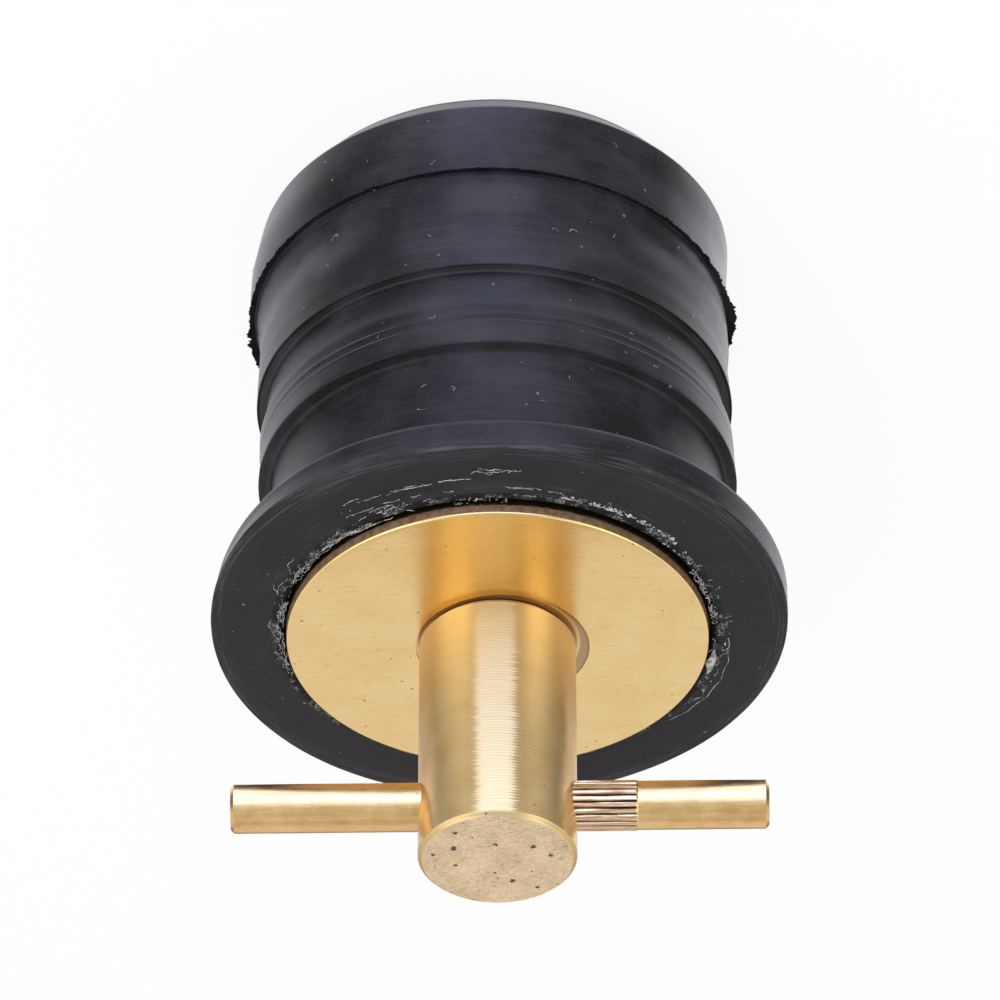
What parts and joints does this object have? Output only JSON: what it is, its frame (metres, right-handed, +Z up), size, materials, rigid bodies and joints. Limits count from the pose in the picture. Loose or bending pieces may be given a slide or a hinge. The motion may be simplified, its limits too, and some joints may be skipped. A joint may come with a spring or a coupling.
{
  "type": "expanding drain plug for boat",
  "caption": "Twist-handle expanding drain plug: a ribbed black rubber body with a flange, squeezed between a brass washer and a sunk brass nut by a turned brass spindle with a cross pin.",
  "frame": {"origin": "centre of the rubber's far end face, which the plug stands on", "axes": "+Z up the plug's axis from the rubber's far end to the handle; +X along the cross pin, with its knurl on the -X side; -Y towards the camera of the picture"},
  "size_m": [0.037, 0.037, 0.0506],
  "materials": {
    "rubber": "moulded black rubber, slightly grey where it is rubbed",
    "washer_brass": "brushed flat brass with a rubbed ring round the hub",
    "spindle_brass": "fine turned brass with a faced, pitted end",
    "pin_brass": "drawn brass rod with a straight knurl on one side",
    "nut_brass": "machined brass"
  },
  "bodies": {
    "bung": {"rubber_plug": "rubber", "pressure_washer": "washer_brass"},
    "handle": {"handle_spindle": "spindle_brass", "cross_pin": "pin_brass"},
    "nut": {"clamp_nut": "nut_brass"}
  },
  "joints": [
    {"name": "handle_turn", "type": "hinge", "parent": "bung", "child": "handle", "pos_m": [0, 0, 0.0337], "axis": [0, 0, 1], "range_deg": [-990, 0]},
    {"name": "nut_travel", "type": "slide", "parent": "bung", "child": "nut", "axis": [0, 0, 1], "range_m": [0, 0.0035], "deforming": ["rubber_plug"]}
  ],
  "couplings": [
    {"joint": "nut_travel", "follows": "handle_turn", "m_per_rad": -0.00020213}
  ]
}
